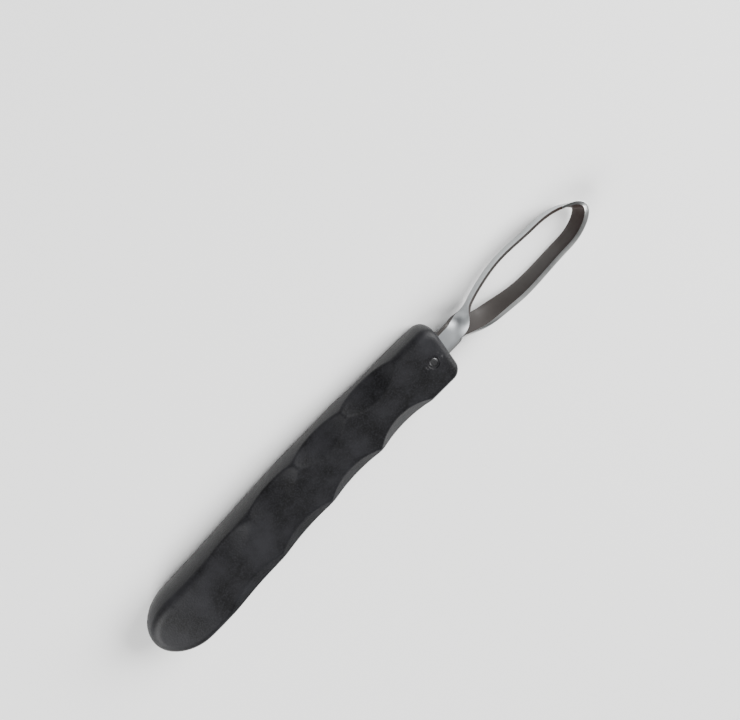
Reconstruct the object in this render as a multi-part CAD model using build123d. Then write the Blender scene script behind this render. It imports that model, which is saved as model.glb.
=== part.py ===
from build123d import *
import os
from math import cos, degrees, radians, sin, sqrt, tan

# Hoof knife: a double-edged steel loop blade held in a moulded plastic handle by a cross pin.
# Millimetres. While the pieces are built, X runs from the butt towards the loop with X = 0 at
# the front of the handle, Y runs towards the spine (the palm side), the fingers close round
# the -Y side, and Z = 0 is the middle plane of handle and tang. The knife is then laid on one
# of its broad faces, with the origin under the middle of its bounding box.

# Handle, seen on its broad face.
handle_length = 132.5
spine_front_y = 10.6      # half-widths on the spine side: front, crown of the bow, butt
spine_crown_x = -66.0
spine_crown_y = 12.0
spine_butt_y = 10.3
finger_front_y = 9.8      # and on the finger side: front, waist, heel
finger_waist_x = -56.0
finger_waist_y = 8.6
finger_heel_y = 10.6
spine_front_slope = 0.045
finger_front_slope = -0.03
butt_round = 14.5         # length of the rounded butt
front_slant = 3.4         # the spine side reaches this much further forward
front_spine_corner = 5.0  # corner radii of the front end
front_finger_corner = 3.6
belly_radius = 13.6       # the spine and the butt belly outwards, as an arc across the thickness

# Handle, seen from the side.
front_half_thickness = 5.5
taper = radians(1.25)     # slope of each broad face, thicker towards the butt
flat_end_x = -104.0       # where the flat faces end and the butt starts to round off
butt_crown_radius = 140.0
butt_crown_turn = 14.0    # degrees
edge_radius = 2.0
outline_levels = (-9.0, -4.5, 0.0, 4.5, 9.0)
block_front_x = 10.0      # the block that gives the side view reaches past the handle
block_half_width = 40.0

# Scoops along the four long corners: one row for the finger tips, one for the palm side.
# Reach is how far a scoop runs on to the broad face, tilt is its slope there in degrees.
scoop_count = 4
first_scoop_x = -26.1
scoop_pitch = 22.2
finger_reach, finger_reach_step = 5.0, -0.5
finger_tilt, finger_tilt_step = 41.0, -5.0
spine_reach, spine_reach_step = 5.4, 0.35
spine_tilt, spine_tilt_step = 33.0, -6.0
scoop_tool_length = 60.0

# Blade: one flat strip bent round into a loop, its two ends lying together as the tang.
strip_width = 7.0
strip_thickness = 1.1
tang_gap = 0.14           # left between the two legs of the tang
tang_stagger = 0.7        # the upper leg lies this far to the spine side, the lower one opposite
tang_depth = 58.0         # length of tang inside the handle
neck_x = 4.0              # the legs are flat and straight up to here
spine_strand = [(10.2, 1.35), (15.2, 3.3), (21.0, 5.05), (31.5, 6.7), (44.0, 6.05), (57.0, 3.85)]
loop_tip = (62.8, -0.9)   # the tip leans a little to the finger side
finger_strand = [(57.0, -5.1), (48.5, -6.1), (38.0, -6.4), (29.0, -6.2), (21.0, -4.9), (15.2, -3.7),
                 (10.2, -1.95)]
bevel_width = 0.9         # ground inside the upper edge and outside the lower one
edge_land = 0.16          # thickness left at the cutting edge
grind_start_x = 8.0       # the bevels run in from the neck up to here
spine_lean = 8.5          # degrees the spine strand's upper edge leans outwards
tip_lean = 18.0           # and that of the tip and the finger strand
spine_turned_x = 15.5     # the spine strand has made its quarter turn here
finger_turn = 40.0        # degrees of its quarter turn that the finger strand makes quickly,
finger_turned_x = 26.0    # up to here; the rest dies away slowly between the two places below
slow_turn_x = (14.0, 50.0)
tip_turn_x = (57.0, 62.8)  # the spine strand takes on the tip's lean between these
leg_part_x = 20.0         # the legs lie above one another at the neck, and are level from here
leg_overlap = 0.4         # how far each straight leg runs on into the loop
section_count = 48

# Cross pin.
pin_x = -6.2
pin_diameter = 3.0
pin_dimple_depth = 0.35   # recess in the plastic round each end of the pin
pin_dimple_diameter = 4.2
pin_recess = 0.15         # the pin's ends stop this far below the broad faces
pin_end_radius = 0.5


def smooth_rise(x, start, end):
    """0 before start, 1 after end, with an S-shaped rise between them."""
    t = min(max((x - start) / (end - start), 0.0), 1.0)
    return t * t * (3.0 - 2.0 * t)


# ---------------------------------------------------------------- handle

def half_thickness(x):
    """Half the handle's thickness on its flat faces."""
    return front_half_thickness - x * tan(taper)


def belly(z):
    """How far the bellied side stands back at height z."""
    return belly_radius - sqrt(belly_radius**2 - z**2)


def handle_outline(z):
    """The handle's outline at height z, parallel to its broad faces."""
    back = belly(z)
    butt_x = butt_round - handle_length
    spine = Spline(
        (front_slant / 2, spine_front_y - back),
        (spine_crown_x, spine_crown_y - back),
        (butt_x, spine_butt_y - back),
        tangents=[(-1, spine_front_slope), (-1, 0)],
    )
    butt = EllipticalCenterArc(
        (butt_x, (spine_butt_y - back - finger_heel_y) / 2),
        butt_round - back,
        (spine_butt_y - back + finger_heel_y) / 2,
        start_angle=90,
        arc_size=180,
    )
    finger = Spline(
        (butt_x, -finger_heel_y),
        (finger_waist_x, -finger_waist_y),
        (-front_slant / 2, -finger_front_y),
        tangents=[(1, 0), (1, finger_front_slope)],
    )
    outline = make_face([spine, butt, finger, Line(finger @ 1, spine @ 0)])
    front = outline.vertices().sort_by(Axis.X)[-1]
    outline = fillet(front, front_spine_corner)
    front = outline.vertices().sort_by_distance((-front_slant / 2, -finger_front_y))[0]
    outline = fillet(front, front_finger_corner)
    return Pos(0, 0, z) * outline


def side_block():
    """The handle's side view, extruded across it: two tapered flats and a crowned butt."""
    flat = Line((block_front_x, half_thickness(block_front_x)),
                (flat_end_x, half_thickness(flat_end_x)))
    crown = JernArc(flat @ 1, flat % 1, butt_crown_radius, butt_crown_turn)
    upper = [flat, crown]
    lower = [mirror(line, Plane.XZ) for line in upper]
    butt_end, front_end = crown @ 1, flat @ 0
    ends = [Line((p.X, p.Y), (p.X, -p.Y)) for p in (butt_end, front_end)]
    return extrude(Plane.XZ * make_face(upper + lower + ends), block_half_width, both=True)


def corner_y(x, side):
    """Where the broad face would meet the side if the long edge were left sharp."""
    if side > 0:
        bow = (x - spine_crown_x) ** 2 * (spine_crown_y - spine_front_y) / spine_crown_x**2
        return spine_crown_y - bow - belly(half_thickness(x))
    waist = (x - finger_waist_x) ** 2 * (finger_front_y - finger_waist_y) / finger_waist_x**2
    return -finger_waist_y - waist


def scoop_tool(x, side, face, reach, tilt):
    """A round bar that cuts one scoop: side is +1 for the spine, face +1 for the upper one."""
    angle = radians(tilt)
    z = half_thickness(x)
    edge_y = corner_y(x, side)
    depth = reach * sin(angle)
    rounding = edge_radius * (sin(angle) + cos(angle) - 1.0)
    rise = depth - rounding
    radius = ((scoop_pitch / 2) ** 2 + rise**2) / (2 * rise)
    out = radius - depth
    centre = (x, edge_y + side * out * sin(angle), face * (z + out * cos(angle)))
    along = (0, side * cos(angle), -face * sin(angle))
    plane = Plane(centre, x_dir=(1, 0, 0), z_dir=along)
    return plane * Cylinder(radius, scoop_tool_length)


def is_rim(edge):
    """True for the edges round the broad faces, and not for the lines across them or the sides."""
    across = abs((edge % 0.5).Y) > 0.99
    at_front = edge.center().X > -2 * front_spine_corner
    return abs(edge.center().Z) > front_half_thickness / 2 and (at_front or not across)


def make_handle():
    """The moulded body with its scoops, tang slot, pin hole and pin recesses."""
    body = loft([handle_outline(z) for z in outline_levels]) & side_block()
    body = fillet([e for e in body.edges() if is_rim(e)], edge_radius)
    for i in range(scoop_count):
        x = first_scoop_x - i * scoop_pitch
        for face in (1, -1):
            body -= scoop_tool(x, 1, face, spine_reach + i * spine_reach_step,
                               spine_tilt + i * spine_tilt_step)
            body -= scoop_tool(x, -1, face, finger_reach + i * finger_reach_step,
                               finger_tilt + i * finger_tilt_step)
    slot_length = tang_depth + block_front_x
    slot_height = 2 * strip_thickness + tang_gap
    slot_width = strip_width + 2 * tang_stagger
    body -= Pos(slot_length / 2 - tang_depth, 0, 0) * Box(slot_length, slot_width, slot_height)
    body -= Pos(pin_x, 0, 0) * Cylinder(pin_diameter / 2, 4 * half_thickness(pin_x))
    for face in (1, -1):
        dimple = Cylinder(pin_dimple_diameter / 2, 2 * pin_dimple_depth)
        body -= Pos(pin_x, 0, face * half_thickness(pin_x)) * dimple
    return body


# ---------------------------------------------------------------- blade

def loop_path():
    """The strip's middle line seen from above, out along the spine side and back round the tip."""
    leg = [(neck_x, tang_stagger), (neck_x + 1.5, tang_stagger)]
    back = [(x, -y) for x, y in reversed(leg)]
    return Spline(*leg, *spine_strand, loop_tip, *finger_strand, *back)


def tilt(x, side):
    """Degrees that the strip's outer face looks up: 90 on the upper leg, -90 on the lower one,
    and a little below level along the loop. The spine strand turns quickly, the other slowly."""
    if side > 0:
        to_turn = (90.0 + spine_lean) * (1.0 - smooth_rise(x, neck_x + 0.5, spine_turned_x))
        return to_turn - spine_lean - (tip_lean - spine_lean) * smooth_rise(x, *tip_turn_x)
    quick = finger_turn * (1.0 - smooth_rise(x, neck_x, finger_turned_x))
    start, end = slow_turn_x
    left = min(max((end - x) / (end - start), 0.0), 1.0)
    return -(quick + (90.0 - finger_turn - tip_lean) * left**2 + tip_lean)


def strip_section(centre, out, up, grind):
    """The strip's cross-section, its upper edge ground inside and its lower edge outside."""
    half, face = strip_width / 2, strip_thickness / 2
    cut = grind * (strip_thickness - edge_land)
    corners = [(-half, -face), (half - bevel_width, -face), (half, cut - face), (half, face),
               (bevel_width - half, face), (-half, face - cut)]
    points = [centre + up * w + out * n for w, n in corners]
    return make_face(Polyline(*points, close=True))


def loop_section(path, u):
    """Cross-section of the loop at parameter u of its path, 0 and 1 being the two legs."""
    point, tangent = path @ u, path % u
    side = 1 if u < 0.5 else -1
    angle = radians(tilt(point.X, side))
    outwards, upwards = Vector(-tangent.Y, tangent.X, 0), Vector(0, 0, 1)
    out = outwards * cos(angle) + upwards * sin(angle)
    up = upwards * cos(angle) - outwards * sin(angle)
    parted = smooth_rise(point.X, neck_x, leg_part_x)
    lift = side * (1.0 - parted) * (strip_thickness + tang_gap) / 2
    grind = smooth_rise(point.X, neck_x, grind_start_x)
    return strip_section(point + upwards * lift, out, up, grind)


def make_blade():
    """The loop, lofted along its path, and the two straight legs of its tang."""
    path = loop_path()
    last = section_count - 1
    loop = loft([loop_section(path, i / last) for i in range(section_count)])
    leg_length = tang_depth + neck_x + leg_overlap
    leg_x = leg_length / 2 - tang_depth
    leg_z = (strip_thickness + tang_gap) / 2
    leg = Box(leg_length, strip_width, strip_thickness)
    legs = [Pos(leg_x, side * tang_stagger, side * leg_z) * leg for side in (1, -1)]
    return loop + legs - Pos(pin_x, 0, 0) * Cylinder(pin_diameter / 2, 20)


def make_pin():
    """The cross pin, its ends rounded and just below the broad faces."""
    length = 2 * (half_thickness(pin_x) - pin_recess)
    pin = Cylinder(pin_diameter / 2, length)
    return Pos(pin_x, 0, 0) * fillet(pin.edges().filter_by(GeomType.CIRCLE), pin_end_radius)


def place(pieces):
    """Lay the knife on a broad face, the origin under the middle of its bounding box."""
    laid = {name: Rot(0, degrees(taper), 0) * piece for name, piece in pieces.items()}
    boxes = [piece.bounding_box() for piece in laid.values()]
    middle_x = (min(b.min.X for b in boxes) + max(b.max.X for b in boxes)) / 2
    middle_y = (min(b.min.Y for b in boxes) + max(b.max.Y for b in boxes)) / 2
    shift = Pos(-middle_x, -middle_y, -min(b.min.Z for b in boxes))
    return {name: shift * piece for name, piece in laid.items()}


if __name__ == "__main__":
    os.makedirs("parts", exist_ok=True)
    knife = place({"handle": make_handle(), "loop_blade": make_blade(), "tang_pin": make_pin()})
    for name, piece in knife.items():
        export_step(piece, f"parts/{name}.step")
        box = piece.bounding_box()
        print(name, piece.is_valid, round(piece.volume, 1), box)
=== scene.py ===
from math import cos, pi, radians, sin, tan

import bmesh
import bpy
import numpy as np
from bpy.props import FloatProperty, FloatVectorProperty, IntProperty, PointerProperty
from mathutils import Matrix, Vector


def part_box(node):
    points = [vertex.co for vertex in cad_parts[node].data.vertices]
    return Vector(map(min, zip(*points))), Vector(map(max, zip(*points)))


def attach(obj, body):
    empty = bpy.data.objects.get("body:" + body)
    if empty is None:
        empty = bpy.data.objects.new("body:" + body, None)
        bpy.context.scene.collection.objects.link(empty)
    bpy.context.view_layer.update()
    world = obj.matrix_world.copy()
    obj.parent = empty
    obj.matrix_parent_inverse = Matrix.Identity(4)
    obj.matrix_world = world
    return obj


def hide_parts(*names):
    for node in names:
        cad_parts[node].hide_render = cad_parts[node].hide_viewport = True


bl_info = {
    "name": "Hoof Knife",
    "version": (1, 0, 0),
    "blender": (4, 5, 0),
    "location": "View3D > Sidebar > Hoof Knife",
    "description": "Finishes a loop hoof knife: moulded grip, ground steel loop and cross pin",
    "category": "Object",
}

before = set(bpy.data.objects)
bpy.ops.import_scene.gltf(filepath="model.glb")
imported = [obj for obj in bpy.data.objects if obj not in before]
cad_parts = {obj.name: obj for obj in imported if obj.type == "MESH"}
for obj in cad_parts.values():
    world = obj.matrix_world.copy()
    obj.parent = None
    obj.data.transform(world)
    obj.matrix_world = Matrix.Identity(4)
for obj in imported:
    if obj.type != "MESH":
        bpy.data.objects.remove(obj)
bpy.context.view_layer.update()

# Shapes are built in millimetres with the knife lying true: X from the butt to the loop, X = 0
# at the front of the grip, Y to the spine (palm side), Z = 0 in the middle plane of the tang.
# KNIFE then lays them where the CAD knife lies, on its tapered face; its pin gives the place.
MM = 0.001
TAPER = radians(1.25)
PIN_X = -6.2
KNIFE = (Matrix.Translation(sum(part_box("tang_pin"), Vector()) / 2)
         @ Matrix.Rotation(TAPER, 4, "Y") @ Matrix.Scale(MM, 4)
         @ Matrix.Translation((-PIN_X, 0, 0)))

# Grip: outlines of its two sides as (x, y, slope), from the butt to the front.
SPINE_SIDE = ((-118.0, 10.3, 0.0), (-66.0, 12.0, 0.024), (1.7, 10.6, -0.045))
FINGER_SIDE = ((-118.0, -10.6, 0.0), (-56.0, -8.6, 0.013), (-1.7, -9.8, -0.03))
SPINE_DROP = 1.4          # the spine falls this far from its crown to the front
FINGER_RISE = 1.2         # and the finger side rises this far from its waist
BUTT_LENGTH = 14.5
BELLY_RADIUS = 13.6       # the spine and the butt belly outwards across the thickness
FRONT_HALF = 5.5          # half thickness at the front
FLAT_END_X = -104.0       # the broad faces are flat up to here and then curve down
CROWN_RADIUS = 140.0
FRONT_SPINE_CORNER = 5.0
FRONT_FINGER_CORNER = 3.6

# Scoops, as (side, reach, step of reach, tilt, step of tilt), reach on the face and tilt there.
FIRST_SCOOP_X = -26.1
SCOOP_ROWS = ((1, 5.4, 0.35, 33.0, -6.0), (-1, 5.0, -0.5, 41.0, -5.0))

# Skin: the share of a sphere's height at which each stretch of the grip ends, from the front.
FRONT_SHARE = (0.075, 0.105)
BODY_SHARE = 0.875
BODY_FRONT_X = -10.0      # behind here the skin is measured square to the axis
HALVINGS = 26

# Loop: the middle line of the strip in plan, out along the spine side, and back.
SPINE_STRAND = ((10.2, 1.35), (15.2, 3.3), (21.0, 5.05), (31.5, 6.7), (44.0, 6.05), (57.0, 3.85))
TIP = (62.45, -1.1)
FINGER_STRAND = ((57.0, -5.1), (48.5, -6.1), (38.0, -6.4), (29.0, -6.2), (21.0, -4.9),
                 (15.2, -3.7), (10.2, -1.95))
NECK_X = 4.0              # the two legs of the tang are flat and straight up to here
TANG_DEPTH = 58.0
TANG_GAP = 0.14
TANG_STAGGER = 0.7        # the upper leg lies this far to the spine side, the lower one opposite
SPINE_TURNED_X = 15.5     # the spine strand has made its quarter turn here
FINGER_TURNED_X = 26.0    # the finger strand has made the quick part of its turn here
SLOW_TURN_X = (14.0, 50.0)  # and the rest dies away between these
TIP_TURN_X = (57.0, 62.8)   # the spine strand takes on the tip's lean between these
LEVEL_X = 20.0            # the legs lie above one another at the neck, and are level from here
GRIND_START_X = 8.0       # the bevels run in from the neck up to here
SHADED_RIM_SHARE = 0.44        # share of the sections whose upper bevel is painted with the inner face's dark colour: painted shade on the spine strand's rim

# Stage: soft rectangular lights as (name, place, size, power), in metres and watts. The two
# softboxes stand beyond the knife's ends, and the weak panel lights its broad face.
LIGHTS = (("front_softbox", (0.95, -0.1, 0.65), (0.9, 0.9), 40.0),
          ("rear_softbox", (-0.95, -0.1, 0.65), (0.9, 0.9), 26.0),
          ("overhead_panel", (0.0, -0.34, 0.85), (0.9, 0.55), 0.4))
SKY_STRENGTH = 0.07
FLOOR_HALF = 2.0
VIEW_TURN = radians(46)   # the knife lies this far from level in the picture
VIEW_CENTRE = (-19.7, 13.06)  # what the camera looks at: along the knife, and across the view


# ---------------------------------------------------------------- settings

def length(name, value, description):
    """A size property, given in millimetres and held in metres."""
    return FloatProperty(name=name, description=description, default=value * MM, min=0.0,
                         precision=5, unit="LENGTH")


def linear(hex_colour):
    """An sRGB hex colour as linear RGBA."""
    values = [int(hex_colour[i:i + 2], 16) / 255 for i in (0, 2, 4)]
    return [v / 12.92 if v <= 0.04045 else ((v + 0.055) / 1.055) ** 2.4 for v in values] + [1.0]


def colour(name, hex_colour, description):
    """A colour property."""
    return FloatVectorProperty(name=name, description=description, default=linear(hex_colour),
                               size=4, min=0.0, max=1.0, subtype="COLOR")


class GripSettings(bpy.types.PropertyGroup):
    scoop_count: IntProperty(name="Scoops", description="Scoops in each row", default=4, min=1)
    scoop_pitch: length("Scoop pitch", 22.2, "Distance between neighbouring scoops")
    scoop_soften: length("Scoop edge", 0.24, "Softness of the scoops' edges")
    edge_radius: length("Edge radius", 2.0, "Radius of the long edges")
    dimple_radius: length("Dimple radius", 2.1, "Radius of the recess round each end of the pin")
    dimple_depth: length("Dimple depth", 0.35, "Depth of the recess round each end of the pin")
    around: IntProperty(name="Faces around", description="Faces round the grip", default=160)
    along: IntProperty(name="Faces along", description="Faces along the grip", default=384)
    dark: colour("Plastic", "09090a", "Colour of the plastic")
    light: colour("Plastic, scuffed", "1d1d20", "Colour of the plastic where it is rubbed")
    grain: length("Grain", 0.55, "Distance between the bumps of the moulded grain")


class LoopSettings(bpy.types.PropertyGroup):
    width: length("Strip width", 7.0, "Width of the steel strip")
    thickness: length("Strip thickness", 1.1, "Thickness of the steel strip")
    bevel: length("Ground bevel", 0.9, "Width of the bevel ground on each edge")
    land: length("Edge land", 0.16, "Thickness left at the cutting edge")
    spine_lean: FloatProperty(name="Lean of the spine strand", default=radians(8.5),
                              description="How far its upper edge leans out", subtype="ANGLE")
    tip_lean: FloatProperty(name="Lean of the tip", default=radians(18), subtype="ANGLE",
                            description="How far the tip and the finger strand lean out")
    finger_turn: FloatProperty(name="Quick turn", default=radians(40), subtype="ANGLE",
                               description="Part of the finger strand's turn made at the neck")
    stations: IntProperty(name="Sections", description="Sections along the loop", default=260)
    steel: colour("Steel", "a6a9ab", "Colour of the satin outer face")
    ground: colour("Ground steel", "c4c5c4", "Colour of the ground bevels")
    # This colour is also painted on the spine strand's ground bevels, as painted shade.
    inside: colour("Inner steel", "35312f", "Colour of the unground inner face")
    # Painted shade: the inner face darker and browner towards the tip, inside the loop.
    tip_shade: colour("Tip shade", "24140f", "Brown painted shade deepening towards the tip, inside the loop")


class PinSettings(bpy.types.PropertyGroup):
    radius: length("Pin radius", 1.5, "Radius of the cross pin")
    recess: length("Recess", 0.15, "How far the pin's ends stop below the broad faces")
    steel: colour("Pin steel", "4c4c4d", "Colour of the pin")


class StageSettings(bpy.types.PropertyGroup):
    floor: colour("Floor", "f4f4f3", "Colour of the floor")
    lens: FloatProperty(name="Lens", description="Focal length in millimetres", default=59.2)
    distance: length("Distance", 390.0, "Distance from the camera to what it looks at")
    tilt: FloatProperty(name="Tilt", description="Lean of the view towards the knife's spine",
                        default=radians(21), subtype="ANGLE")


class KnifeSettings(bpy.types.PropertyGroup):
    grip: PointerProperty(type=GripSettings)
    loop: PointerProperty(type=LoopSettings)
    pin: PointerProperty(type=PinSettings)
    stage: PointerProperty(type=StageSettings)


# ---------------------------------------------------------------- nodes and pieces

def add_node(tree, kind, settings=None, links=None):
    """Adds a node, gives it its settings and sets or links its inputs, by name or number."""
    node = tree.nodes.new(kind)
    for name, value in (settings or {}).items():
        setattr(node, name, value)
    for name, value in (links or {}).items():
        if isinstance(value, bpy.types.NodeSocket):
            tree.links.new(value, node.inputs[name])
        else:
            node.inputs[name].default_value = value
    return node


def start_material(name):
    """An empty material and its node tree."""
    material = bpy.data.materials.new(name)
    material.use_nodes = True
    material.node_tree.nodes.clear()
    return material, material.node_tree


def finish_material(tree, **inputs):
    """Ends a material with its shader; underscores in the names stand for spaces."""
    links = {name.replace("_", " "): value for name, value in inputs.items()}
    shader = add_node(tree, "ShaderNodeBsdfPrincipled", links=links)
    add_node(tree, "ShaderNodeOutputMaterial", links={"Surface": shader.outputs["BSDF"]})


def spread(tree, value, low, high, to_low, to_high):
    """Maps a value from one range to another."""
    return add_node(tree, "ShaderNodeMapRange", links={
        "Value": value, "From Min": low, "From Max": high, "To Min": to_low, "To Max": to_high,
    }).outputs["Result"]


def mixed(tree, factor, first, second):
    """Two colours mixed by a factor."""
    node = add_node(tree, "ShaderNodeMix", {"data_type": "RGBA"},
                    {"Factor": factor, 6: first, 7: second})
    return node.outputs[2]


def finish_piece(bm, name, node, materials, place=KNIFE):
    """Makes the bmesh an object that stands for a CAD node."""
    bm.transform(place)
    bmesh.ops.recalc_face_normals(bm, faces=bm.faces)
    for face in bm.faces:
        face.smooth = True
    mesh = bpy.data.meshes.new(name)
    bm.to_mesh(mesh)
    bm.free()
    for material in materials:
        mesh.materials.append(material)
    piece = bpy.data.objects.new(name, mesh)
    bpy.context.scene.collection.objects.link(piece)
    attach(piece, "root")
    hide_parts(node)
    return piece


# ---------------------------------------------------------------- grip

def half_thickness(x):
    """Half the thickness between the tapered flats."""
    return FRONT_HALF - x * tan(TAPER)


def side_line(x, points):
    """A side's outline: smooth through three points with given slopes."""
    y = np.zeros_like(x)
    for (x0, y0, m0), (x1, y1, m1) in zip(points, points[1:]):
        span = x1 - x0
        t = np.clip((x - x0) / span, 0, 1)
        part = ((1 + 2 * t) * (1 - t) ** 2 * y0 + t * (1 - t) ** 2 * span * m0
                + t * t * (3 - 2 * t) * y1 - t * t * (1 - t) * span * m1)
        y = np.where((x >= x0) if x0 > points[0][0] else (x < points[1][0]), part, y)
    return y


def meet(a, b, radius):
    """The part inside both surfaces, its corner rounded."""
    return (np.minimum(np.maximum(a, b), -radius)
            + np.hypot(np.maximum(a + radius, 0), np.maximum(b + radius, 0)))


def broad_faces(x, z):
    """Distance outside the two tapered flats and the curved butt end of the broad faces."""
    flat = (np.abs(z) - half_thickness(x)) * cos(TAPER)
    corner = half_thickness(FLAT_END_X)
    crown = np.hypot(x - FLAT_END_X + CROWN_RADIUS * sin(TAPER),
                     np.abs(z) - corner + CROWN_RADIUS * cos(TAPER)) - CROWN_RADIUS
    ahead = (x - FLAT_END_X) * cos(TAPER) - (np.abs(z) - corner) * sin(TAPER)
    return np.where(ahead > 0, flat, crown)


def outline(x, y, z):
    """Distance outside the grip's outline: bellied spine, waisted finger side, slanted front
    with rounded corners, and rounded butt."""
    spine = np.hypot(y - side_line(x, SPINE_SIDE) + BELLY_RADIUS, z) - BELLY_RADIUS
    finger = side_line(x, FINGER_SIDE) - y
    back_x, heel_y = FINGER_SIDE[0][:2]
    nose_x, nose_y = FINGER_SIDE[-1][:2]
    front = Vector((SPINE_SIDE[-1][0] - nose_x, SPINE_SIDE[-1][1] - nose_y)).normalized()
    nose = (x - nose_x) * front.y - (y - nose_y) * front.x
    sides = meet(meet(spine, nose, FRONT_SPINE_CORNER), finger, FRONT_FINGER_CORNER)
    stand_back = BELLY_RADIUS - np.sqrt(np.maximum(BELLY_RADIUS ** 2 - z * z, 1.0))
    width = (SPINE_SIDE[0][1] - stand_back - heel_y) / 2
    reach = BUTT_LENGTH - stand_back
    u, v = (x - back_x) / reach, (y - heel_y - width) / width
    size = np.maximum(np.hypot(u, v), 1e-6)
    butt = (size - 1) * size / np.maximum(np.hypot(u / reach, v / width), 1e-6)
    return np.where(x < back_x, butt, sides)


def scoop(x, y, z, centre_x, side, face, reach, tilt, settings):
    """Distance outside one scoop: a round bar laid along a long edge."""
    edge = settings.edge_radius / MM
    if side > 0:
        crown_x, crown_y = SPINE_SIDE[1][:2]
        corner = crown_y - (centre_x - crown_x) ** 2 * SPINE_DROP / crown_x ** 2
        height = half_thickness(centre_x)
        corner -= BELLY_RADIUS - (BELLY_RADIUS ** 2 - height ** 2) ** 0.5
    else:
        waist_x, waist_y = FINGER_SIDE[1][:2]
        corner = waist_y - (centre_x - waist_x) ** 2 * FINGER_RISE / waist_x ** 2
    depth = reach * sin(tilt)
    rise = depth - edge * (sin(tilt) + cos(tilt) - 1)
    radius = ((settings.scoop_pitch / MM / 2) ** 2 + rise ** 2) / (2 * rise)
    out = (y - corner) * side * sin(tilt) + (z * face - half_thickness(centre_x)) * cos(tilt)
    return np.hypot(x - centre_x, out - (radius - depth)) - radius


def grip_surface(points, settings):
    """Distance outside the grip, negative inside."""
    x, y, z = points.T
    body = meet(outline(x, y, z), broad_faces(x, z), settings.edge_radius / MM)
    for i in range(settings.scoop_count):
        centre_x = FIRST_SCOOP_X - i * settings.scoop_pitch / MM
        for side, reach, reach_step, tilt, tilt_step in SCOOP_ROWS:
            for face in (1, -1):
                bar = scoop(x, y, z, centre_x, side, face, reach + i * reach_step,
                            radians(tilt + i * tilt_step), settings)
                body = meet(body, -bar, settings.scoop_soften / MM)
    return body


def skin_rays(sphere):
    """Where each point of a unit sphere looks from, and which way, to reach its place on the
    grip: its height gives the station along the grip, its bearing the place around it."""
    station = np.arccos(np.clip(sphere[:, 2], -1, 1)) / pi
    bearing = np.arctan2(np.abs(sphere[:, 1]), np.abs(sphere[:, 0])) / (pi / 2)
    quarter = np.linspace(0, 1, 9)[1:]
    butt_x = FINGER_SIDE[0][0]
    stops = [0, *FRONT_SHARE, BODY_SHARE, *(BODY_SHARE + (1 - BODY_SHARE) * quarter)]
    look_x = np.interp(station, stops, [
        1, 1, BODY_FRONT_X, butt_x, *(butt_x - BUTT_LENGTH * np.sin(quarter * pi / 2))])
    spread_out = np.interp(station, stops, [0, 1, 1, 1, *np.cos(quarter * pi / 2)])
    width = np.interp(bearing, [0, 0.43, 0.83, 1], [11, 11, 5, 0]) * np.sign(sphere[:, 0])
    height = np.interp(bearing, [0, 0.43, 0.83, 1], [0, 6.5, 6.5, 6.5]) * np.sign(sphere[:, 1])
    target = np.stack([look_x, spread_out * width, spread_out * height], axis=1)
    start = np.stack([np.clip(look_x, butt_x, BODY_FRONT_X), 0 * look_x, 0 * look_x], axis=1)
    way = target - start
    return start, way / np.linalg.norm(way, axis=1, keepdims=True)


def stretch_skin(bm, settings):
    """Moves the points of a sphere out to the grip's surface."""
    sphere = np.array([v.co for v in bm.verts])
    start, way = skin_rays(sphere)
    near, far = np.zeros(len(sphere)), np.full(len(sphere), 30.0)
    for _ in range(HALVINGS):
        middle = (near + far) / 2
        inside = grip_surface(start + way * middle[:, None], settings) < 0
        near, far = np.where(inside, middle, near), np.where(inside, far, middle)
    for vert, place in zip(bm.verts, start + way * far[:, None]):
        vert.co = place


def sink_dimple(bm, face, settings):
    """Recesses the flat round one end of the pin."""
    radius, depth = settings.dimple_radius / MM, settings.dimple_depth / MM
    centre = Vector((PIN_X, 0, face * half_thickness(PIN_X)))
    patch = [f for f in bm.faces if (f.calc_center_median() - centre).length < radius + 1.0]
    rim = dict.fromkeys(e for f in patch for e in f.edges
                        if any(g not in patch for g in e.link_faces))
    bmesh.ops.delete(bm, geom=patch, context="FACES")
    lean = Matrix.Translation(centre) @ Matrix.Rotation(face * TAPER, 4, "Y")
    ring = bmesh.ops.create_circle(bm, segments=64, radius=radius + 0.25, matrix=lean)["verts"]
    edges = list(dict.fromkeys(e for v in ring for e in v.link_edges))
    filled = bmesh.ops.triangle_fill(bm, edges=list(rim) + edges,
                                     normal=lean.col[2].xyz * face)["geom"]
    bmesh.ops.dissolve_degenerate(bm, dist=1e-4, edges=[
        g for g in filled if isinstance(g, bmesh.types.BMEdge)])
    for inset, drop in ((0.12, 0.0), (0.22, 0.03), (0.28, 0.12), (0.32, depth - 0.08),
                        (0.38, depth - 0.02), (0.5, depth)):
        edges = bmesh.ops.extrude_edge_only(bm, edges=edges)["geom"]
        ring = [g for g in edges if isinstance(g, bmesh.types.BMVert)]
        edges = [g for g in edges if isinstance(g, bmesh.types.BMEdge)]
        for vert in ring:
            local = lean.inverted() @ vert.co
            local.xy = local.xy.normalized() * (radius + 0.25 - inset)
            local.z = -face * drop
            vert.co = lean @ local
    bmesh.ops.contextual_create(bm, geom=edges)


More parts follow.
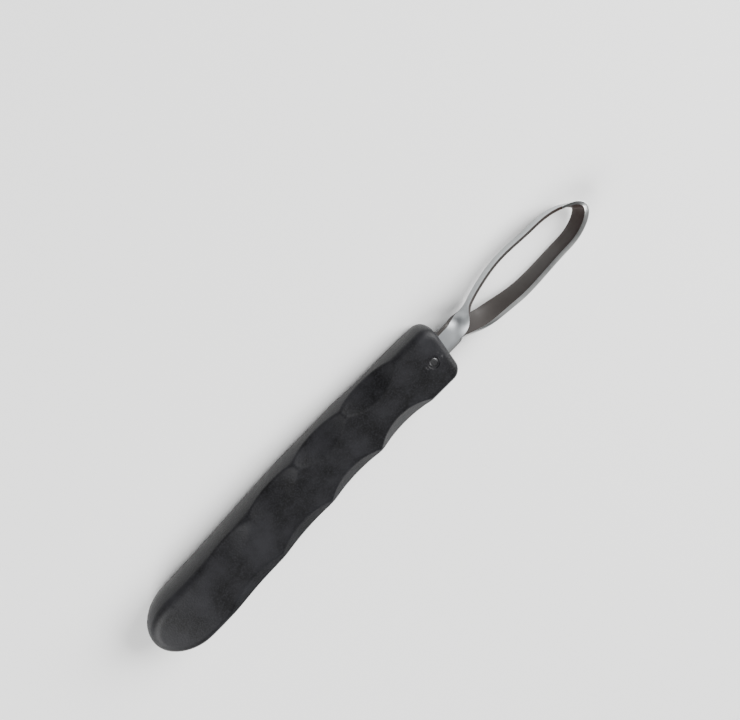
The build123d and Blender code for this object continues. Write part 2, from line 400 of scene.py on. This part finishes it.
def moulded_polypropylene(settings):
    """Black polypropylene, injection moulded in a spark-eroded mould: a fine even grain breaks
    up a satin gloss, and handling leaves faint cloudy patches."""
    material, tree = start_material("moulded_polypropylene")
    place = add_node(tree, "ShaderNodeTexCoord").outputs["Object"]
    grain = add_node(tree, "ShaderNodeTexNoise", links={
        "Vector": place, "Scale": 1 / settings.grain, "Detail": 3.0, "Roughness": 0.6,
    }).outputs["Fac"]
    cloud = add_node(tree, "ShaderNodeTexNoise", links={
        "Vector": place, "Scale": 1 / (9 * MM), "Detail": 4.0, "Roughness": 0.55,
    }).outputs["Fac"]
    scuffed = mixed(tree, spread(tree, cloud, 0.35, 0.7, 0, 1), settings.dark, settings.light)
    speckled = mixed(tree, spread(tree, grain, 0.45, 0.7, 0, 0.9), scuffed, settings.light)
    gloss = spread(tree, cloud, 0.3, 0.7, 0.42, 0.52)
    # Grain deeper and coarser than the real 0.1 mm spark marks, so that it shows.
    bump = add_node(tree, "ShaderNodeBump", links={
        "Strength": 1.0, "Distance": 0.08 * MM, "Height": grain})
    finish_material(tree, Base_Color=speckled, Roughness=gloss, IOR=1.49, Specular_IOR_Level=0.22,
                    Normal=bump.outputs["Normal"])
    return material


class HOOFKNIFE_OT_grip(bpy.types.Operator):
    """Makes the moulded grip with its scoops and the dimples round the pin"""
    bl_idname = "hoof_knife.grip"
    bl_label = "Grip"

    def execute(self, context):
        settings = context.scene.hoof_knife.grip
        bm = bmesh.new()
        bmesh.ops.create_uvsphere(bm, u_segments=settings.around, v_segments=settings.along,
                                  radius=1)
        stretch_skin(bm, settings)
        for face in (1, -1):
            sink_dimple(bm, face, settings)
        finish_piece(bm, "moulded_grip", "handle",
                     [moulded_polypropylene(settings)])
        return {"FINISHED"}


# ---------------------------------------------------------------- loop

def smooth_rise(x, start, end):
    """0 before start, 1 after end, with an S-shaped rise between them."""
    t = min(max((x - start) / (end - start), 0), 1)
    return t * t * (3 - 2 * t)


def spline_through(points, start_way, end_way, count):
    """Evenly counted points, and their directions, on a smooth curve through the given ones."""
    points = np.array(points)
    step = np.linalg.norm(np.diff(points, axis=0), axis=1)
    knots = np.concatenate([[0], np.cumsum(step)])
    last = len(points) - 1
    rows, right = np.zeros((last + 1, last + 1)), np.zeros_like(points)
    rows[0, 0] = rows[last, last] = 1
    right[0], right[last] = start_way, end_way
    for i in range(1, last):
        before, after = step[i - 1], step[i]
        rows[i, i - 1:i + 2] = after, 2 * (before + after), before
        right[i] = 3 * (after * (points[i] - points[i - 1]) / before
                        + before * (points[i + 1] - points[i]) / after)
    slopes = np.linalg.solve(rows, right)
    line = []
    for s in np.linspace(0, knots[-1], count):
        i = min(int(np.searchsorted(knots, s, side="right")) - 1, last - 1)
        t, span = (s - knots[i]) / step[i], step[i]
        place = ((1 + 2 * t) * (1 - t) ** 2 * points[i] + t * (1 - t) ** 2 * span * slopes[i]
                 + t * t * (3 - 2 * t) * points[i + 1] - t * t * (1 - t) * span * slopes[i + 1])
        way = (6 * t * (t - 1) * (points[i] - points[i + 1]) / span
               + (1 - t) * (1 - 3 * t) * slopes[i] + t * (3 * t - 2) * slopes[i + 1])
        line.append((Vector((*place, 0)), Vector((*way, 0)).normalized()))
    return line


def loop_line(count):
    """The strip's middle line in plan: out along the spine side, round the tip and back."""
    leg = [(NECK_X, TANG_STAGGER), (NECK_X + 1.5, TANG_STAGGER)]
    back = [(x, -y) for x, y in reversed(leg)]
    points = [*leg, *SPINE_STRAND, TIP, *FINGER_STRAND, *back]
    return spline_through(points, (1, 0), (-1, 0), count)


def tilt(x, side, settings):
    """How far the strip's outer face looks up: a right angle on the upper leg and less than
    level along the loop. The spine strand turns quickly and the finger strand slowly."""
    if side > 0:
        turned = smooth_rise(x, NECK_X + 0.5, SPINE_TURNED_X)
        to_turn = (pi / 2 + settings.spine_lean) * (1 - turned)
        more_lean = (settings.tip_lean - settings.spine_lean) * smooth_rise(x, *TIP_TURN_X)
        return to_turn - settings.spine_lean - more_lean
    quick = settings.finger_turn * (1 - smooth_rise(x, NECK_X, FINGER_TURNED_X))
    left = min(max((SLOW_TURN_X[1] - x) / (SLOW_TURN_X[1] - SLOW_TURN_X[0]), 0), 1)
    slow = (pi / 2 - settings.finger_turn - settings.tip_lean) * left ** 2
    return -(quick + slow + settings.tip_lean)


def strip_corners(settings, grind):
    """The strip's cross-section as (across, outwards, finish), its upper edge ground inside and
    its lower edge outside. Finish 0 is the outer face, 1 ground steel and 2 the inner face."""
    half, face = settings.width / MM / 2, settings.thickness / MM / 2
    bevel = settings.bevel / MM
    cut = grind * (settings.thickness - settings.land) / MM
    inner = [(-half + (2 * half - bevel) * k / 4, -face, 2) for k in range(4)]
    outer = [(half - (2 * half - bevel) * k / 4, face, 0) for k in range(4)]
    return inner + [(half - bevel, -face, 1), (half, cut - face, 1)] + outer + [
        (bevel - half, face, 1), (-half, face - cut, 1)]


def strip_section(point, way, side, settings):
    """The places of the cross-section's corners at one point of the middle line."""
    outwards, upwards = Vector((-way.y, way.x, 0)), Vector((0, 0, 1))
    angle = tilt(point.x, side, settings)
    out = outwards * cos(angle) + upwards * sin(angle)
    up = upwards * cos(angle) - outwards * sin(angle)
    apart = 1 - smooth_rise(point.x, NECK_X, LEVEL_X)
    lift = side * apart * (settings.thickness / MM + TANG_GAP) / 2
    corners = strip_corners(settings, smooth_rise(point.x, NECK_X, GRIND_START_X))
    return [point + upwards * lift + up * w + out * n for w, n, _ in corners]


def satin_steel(settings):
    """Stainless strip, satin ground along its length: a soft sheen drawn out along the strip."""
    material, tree = start_material("satin_ground_stainless")
    along = add_node(tree, "ShaderNodeUVMap", {"uv_map": "strip"}).outputs["UV"]
    # Scratches 0.25 mm apart and 12 mm long, coarser than the real grit so that they show.
    stretch = add_node(tree, "ShaderNodeMapping", links={
        "Vector": along, "Scale": (1 / (12 * MM), 1 / (0.25 * MM), 1)}).outputs["Vector"]
    scratch = add_node(tree, "ShaderNodeTexNoise", links={
        "Vector": stretch, "Scale": 1.0, "Detail": 3.0}).outputs["Fac"]
    bump = add_node(tree, "ShaderNodeBump", links={
        "Strength": 0.25, "Distance": 0.02 * MM, "Height": scratch})
    finish_material(tree, Base_Color=settings.steel, Metallic=1.0,
                    Roughness=spread(tree, scratch, 0.3, 0.7, 0.48, 0.58),
                    Normal=bump.outputs["Normal"])
    return material


def belt_ground_steel(settings):
    """Stainless ground to an edge on a coarse belt: bright, with marks across the bevel."""
    material, tree = start_material("belt_ground_stainless")
    along = add_node(tree, "ShaderNodeUVMap", {"uv_map": "strip"}).outputs["UV"]
    # Belt marks 0.3 mm apart, across the bevel.
    stretch = add_node(tree, "ShaderNodeMapping", links={
        "Vector": along, "Scale": (1 / (0.3 * MM), 1 / (3 * MM), 1)}).outputs["Vector"]
    mark = add_node(tree, "ShaderNodeTexNoise", links={
        "Vector": stretch, "Scale": 1.0, "Detail": 3.0, "Roughness": 0.7}).outputs["Fac"]
    bump = add_node(tree, "ShaderNodeBump", links={
        "Strength": 0.35, "Distance": 0.03 * MM, "Height": mark})
    finish_material(tree, Base_Color=settings.ground, Metallic=1.0,
                    Roughness=spread(tree, mark, 0.3, 0.7, 0.28, 0.42),
                    Normal=bump.outputs["Normal"])
    return material


def rolled_steel_and_painted_shade(settings):
    """Stainless strip as rolled and bent: a dull dark scale, which as an oxide isn't metallic,
    with painted shade, dark brown, deepening towards the tip inside the loop, where the bend is
    tightest. The spine strand's ground bevels take it too, as painted shade."""
    material, tree = start_material("rolled_stainless_and_painted_shade")
    place = add_node(tree, "ShaderNodeTexCoord").outputs["Object"]
    x = add_node(tree, "ShaderNodeSeparateXYZ", links={"Vector": place}).outputs["X"]
    blotch = add_node(tree, "ShaderNodeTexNoise", links={
        "Vector": place, "Scale": 1 / (5 * MM), "Detail": 5.0, "Roughness": 0.6}).outputs["Fac"]
    tip_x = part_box("loop_blade")[1].x
    near_tip = spread(tree, x, tip_x - 22 * MM, tip_x - 3 * MM, 0, 1)
    # Painted shade: towards the tip the inner face is mixed, in blotches, to the darker brown.
    tip_shading = add_node(tree, "ShaderNodeMath", {"operation": "MULTIPLY"},
                    {0: near_tip, 1: spread(tree, blotch, 0.3, 0.6, 0.6, 1)}).outputs["Value"]
    finish_material(tree, Base_Color=mixed(tree, tip_shading, settings.inside, settings.tip_shade),
                    Metallic=0.0, IOR=1.45, Roughness=spread(tree, blotch, 0.3, 0.7, 0.5, 0.62))
    return material


class HOOFKNIFE_OT_loop(bpy.types.Operator):
    """Makes the loop blade and its tang from one ground strip"""
    bl_idname = "hoof_knife.loop"
    bl_label = "Loop blade"

    def execute(self, context):
        settings = context.scene.hoof_knife.loop
        line = loop_line(settings.stations)
        ahead = Vector((1, 0, 0))
        line = [(Vector((-TANG_DEPTH, TANG_STAGGER, 0)), ahead), *line,
                (Vector((-TANG_DEPTH, -TANG_STAGGER, 0)), -ahead)]
        sections = [strip_section(point, way, 1 if i < len(line) / 2 else -1, settings)
                    for i, (point, way) in enumerate(line)]
        corners = strip_corners(settings, 1)
        finishes = [finish for _, _, finish in corners]
        run = np.cumsum([0] + [(b[0] - a[0]).length for a, b in zip(line, line[1:])])
        girth = np.cumsum([0] + [(Vector(b[:2]) - Vector(a[:2])).length
                                 for a, b in zip(corners, corners[1:] + corners[:1])])

        bm = bmesh.new()
        uv = bm.loops.layers.uv.new("strip")
        count = len(finishes)
        bmesh.ops.create_grid(bm, x_segments=len(sections) - 1, y_segments=count, size=1)
        spots = {}
        for vert in bm.verts:
            spots[vert] = (round((vert.co.x + 1) / 2 * (len(sections) - 1)),
                           round((vert.co.y + 1) / 2 * count))
        for face in bm.faces:
            finish = finishes[min(spots[v][1] for v in face.verts)]
            # Painted shade: on the spine side the ground bevels and edge lands take the dark
            # inner material.
            spine_side = min(spots[v][0] for v in face.verts) < SHADED_RIM_SHARE * len(sections)
            face.material_index = 2 if finish == 1 and spine_side else finish
            for loop in face.loops:
                i, j = spots[loop.vert]
                loop[uv].uv = (run[i] * MM, girth[j] * MM)
        for vert, (i, j) in spots.items():
            vert.co = sections[i][j % count]
        bmesh.ops.remove_doubles(bm, verts=bm.verts, dist=1e-4)
        bmesh.ops.holes_fill(bm, edges=[e for e in bm.edges if e.is_boundary])
        sharp = [e for e in bm.edges if len(e.link_faces) == 2
                 and e.calc_face_angle(0) > radians(20)
                 and e.link_faces[0].material_index + e.link_faces[1].material_index != 0]
        bmesh.ops.bevel(bm, geom=sharp, offset=0.06, offset_type="OFFSET", segments=2,
                        profile=0.5, affect="EDGES", material=-1, clamp_overlap=True)
        finish_piece(bm, "ground_loop", "loop_blade",
                     [satin_steel(settings), belt_ground_steel(settings), rolled_steel_and_painted_shade(settings)])
        return {"FINISHED"}


# ---------------------------------------------------------------- pin

def turned_steel(settings):
    """Plain steel pin, cropped and hammered home: dull, finely pitted, with worn bright spots."""
    material, tree = start_material("turned_steel")
    place = add_node(tree, "ShaderNodeTexCoord").outputs["Object"]
    pits = add_node(tree, "ShaderNodeTexNoise", links={
        "Vector": place, "Scale": 1 / (0.5 * MM), "Detail": 4.0}).outputs["Fac"]
    bump = add_node(tree, "ShaderNodeBump", links={
        "Strength": 0.4, "Distance": 0.05 * MM, "Height": pits})
    finish_material(tree, Base_Color=settings.steel, Metallic=1.0,
                    Roughness=spread(tree, pits, 0.3, 0.7, 0.30, 0.5),
                    Normal=bump.outputs["Normal"])
    return material


class HOOFKNIFE_OT_pin(bpy.types.Operator):
    """Makes the cross pin that holds the tang"""
    bl_idname = "hoof_knife.pin"
    bl_label = "Cross pin"

    def execute(self, context):
        settings = context.scene.hoof_knife.pin
        half = half_thickness(PIN_X) - settings.recess / MM
        bm = bmesh.new()
        bmesh.ops.create_cone(bm, cap_ends=True, segments=48, radius1=settings.radius / MM,
                              radius2=settings.radius / MM, depth=2 * half,
                              matrix=Matrix.Translation((PIN_X, 0, 0)))
        ends = [e for e in bm.edges if abs(e.verts[0].co.z - e.verts[1].co.z) < 1e-3]
        bmesh.ops.bevel(bm, geom=ends, offset=0.45, offset_type="OFFSET", segments=5,
                        profile=0.5, affect="EDGES", material=-1)
        finish_piece(bm, "cross_pin", "tang_pin", [turned_steel(settings)])
        return {"FINISHED"}


# ---------------------------------------------------------------- stage

def pale_floor(settings):
    """Matt white board, very slightly uneven."""
    material, tree = start_material("matt_board")
    place = add_node(tree, "ShaderNodeTexCoord").outputs["Object"]
    patch = add_node(tree, "ShaderNodeTexNoise", links={
        "Vector": place, "Scale": 6.0, "Detail": 2.0}).outputs["Fac"]
    finish_material(tree, Base_Color=settings.floor, IOR=1.45,
                    Roughness=spread(tree, patch, 0.3, 0.7, 0.78, 0.86))
    return material


def add_light(name, place, size, power, target=(0, 0, 0)):
    """A soft rectangular light that faces a point."""
    light = bpy.data.lights.new(name, "AREA")
    light.shape = "RECTANGLE"
    light.size, light.size_y = size
    light.energy = power
    lamp = bpy.data.objects.new(name, light)
    bpy.context.scene.collection.objects.link(lamp)
    lamp.location = place
    lamp.rotation_euler = (Vector(target) - Vector(place)).to_track_quat("-Z", "Y").to_euler()
    return lamp


class HOOFKNIFE_OT_stage(bpy.types.Operator):
    """Sets the floor, the lights and the camera"""
    bl_idname = "hoof_knife.stage"
    bl_label = "Stage"

    def execute(self, context):
        settings = context.scene.hoof_knife.stage
        bm = bmesh.new()
        bmesh.ops.create_grid(bm, x_segments=8, y_segments=8, size=FLOOR_HALF)
        mesh = bpy.data.meshes.new("floor")
        bm.to_mesh(mesh)
        bm.free()
        mesh.materials.append(pale_floor(settings))
        floor = bpy.data.objects.new("floor", mesh)
        context.scene.collection.objects.link(floor)

        for light in LIGHTS:
            add_light(*light)
        world = bpy.data.worlds.new("studio")
        world.use_nodes = True
        sky = world.node_tree.nodes["Background"]
        sky.inputs["Color"].default_value = (0.9, 0.95, 1.0, 1.0)
        sky.inputs["Strength"].default_value = SKY_STRENGTH
        context.scene.world = world

        lean, turn = settings.tilt, VIEW_TURN
        across = Vector((0, cos(lean), -sin(lean)))
        forward = Vector((1, 0, 0))
        right = forward * cos(turn) - across * sin(turn)
        up = forward * sin(turn) + across * cos(turn)
        away = right.cross(up)
        target = forward * VIEW_CENTRE[0] + across * VIEW_CENTRE[1]
        spot = target + away * settings.distance / MM
        view = KNIFE @ Matrix.Translation(spot) @ Matrix((right, up, away)).transposed().to_4x4()
        camera = bpy.data.objects.new("camera", bpy.data.cameras.new("camera"))
        camera.data.lens = settings.lens
        camera.data.clip_start = 0.01
        context.scene.collection.objects.link(camera)
        place, rotation, _ = view.decompose()
        camera.location = place
        camera.rotation_euler = rotation.to_euler()
        context.scene.camera = camera
        return {"FINISHED"}


# ---------------------------------------------------------------- add-on

class HOOFKNIFE_PT_sidebar(bpy.types.Panel):
    """Lists the knife's pieces"""
    bl_idname = "HOOFKNIFE_PT_sidebar"
    bl_label = "Hoof Knife"
    bl_space_type = "VIEW_3D"
    bl_region_type = "UI"
    bl_category = "Hoof Knife"

    def draw(self, context):
        knife = context.scene.hoof_knife
        for operator, group in (("grip", knife.grip), ("loop", knife.loop),
                                ("pin", knife.pin), ("stage", knife.stage)):
            box = self.layout.box()
            box.operator(f"hoof_knife.{operator}")
            for name in group.bl_rna.properties.keys():
                if name not in ("rna_type", "name"):
                    box.prop(group, name)


CLASSES = (GripSettings, LoopSettings, PinSettings, StageSettings, KnifeSettings,
           HOOFKNIFE_OT_grip, HOOFKNIFE_OT_loop, HOOFKNIFE_OT_pin, HOOFKNIFE_OT_stage,
           HOOFKNIFE_PT_sidebar)


def register():
    for cls in CLASSES:
        bpy.utils.register_class(cls)
    bpy.types.Scene.hoof_knife = PointerProperty(type=KnifeSettings)


def unregister():
    del bpy.types.Scene.hoof_knife
    for cls in reversed(CLASSES):
        bpy.utils.unregister_class(cls)


def main():
    register()
    bpy.ops.hoof_knife.grip()
    bpy.ops.hoof_knife.loop()
    bpy.ops.hoof_knife.pin()
    bpy.ops.hoof_knife.stage()
    bpy.context.view_layer.update()


if __name__ == "__main__":
    main()
